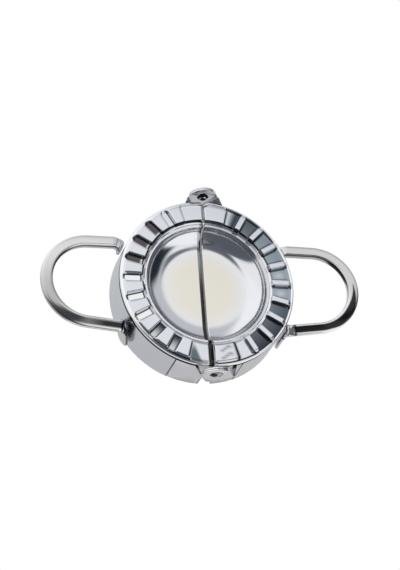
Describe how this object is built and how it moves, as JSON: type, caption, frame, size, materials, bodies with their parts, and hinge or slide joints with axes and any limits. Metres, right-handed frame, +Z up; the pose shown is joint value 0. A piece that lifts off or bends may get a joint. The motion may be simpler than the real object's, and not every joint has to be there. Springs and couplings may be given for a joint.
{
  "type": "empanada press",
  "caption": "Hinged metal press lying open flat, with two half bowls inside a crimping ring, flared cutting skirts and two loop handles, for sealing filled dough pockets.",
  "frame": {"origin": "centre of the bowl on the table, with the press lying open flat on its cutting edges", "axes": "+X along the handles, from the left half towards the right half; +Y along the hinge axis, from the front hinge towards the back hinge; +Z up, out of the bowl's mouth"},
  "size_m": [0.1686, 0.1028, 0.0322],
  "materials": {
    "ring_steel": "mirror-polished stainless steel",
    "bowl_steel": "mirror-polished stainless steel",
    "skirt_steel": "polished stainless steel",
    "handle_steel": "polished stainless steel bar",
    "hinge_steel": "polished stainless steel",
    "rivet_steel": "polished stainless steel rivet"
  },
  "bodies": {
    "left_half": {"left_crimp_plate": "ring_steel", "left_bowl": "bowl_steel", "left_skirt": "skirt_steel", "left_handle": "handle_steel", "left_front_ear": "hinge_steel", "left_back_ear": "hinge_steel", "front_rivet": "rivet_steel", "back_rivet": "rivet_steel"},
    "right_half": {"right_crimp_plate": "ring_steel", "right_bowl": "bowl_steel", "right_skirt": "skirt_steel", "right_handle": "handle_steel", "right_front_ear": "hinge_steel", "right_back_ear": "hinge_steel"}
  },
  "joints": [
    {"name": "fold", "type": "hinge", "parent": "left_half", "child": "right_half", "pos_m": [0, 0, 0.025], "axis": [0, -1, 0], "range_deg": [-2, 180]}
  ]
}
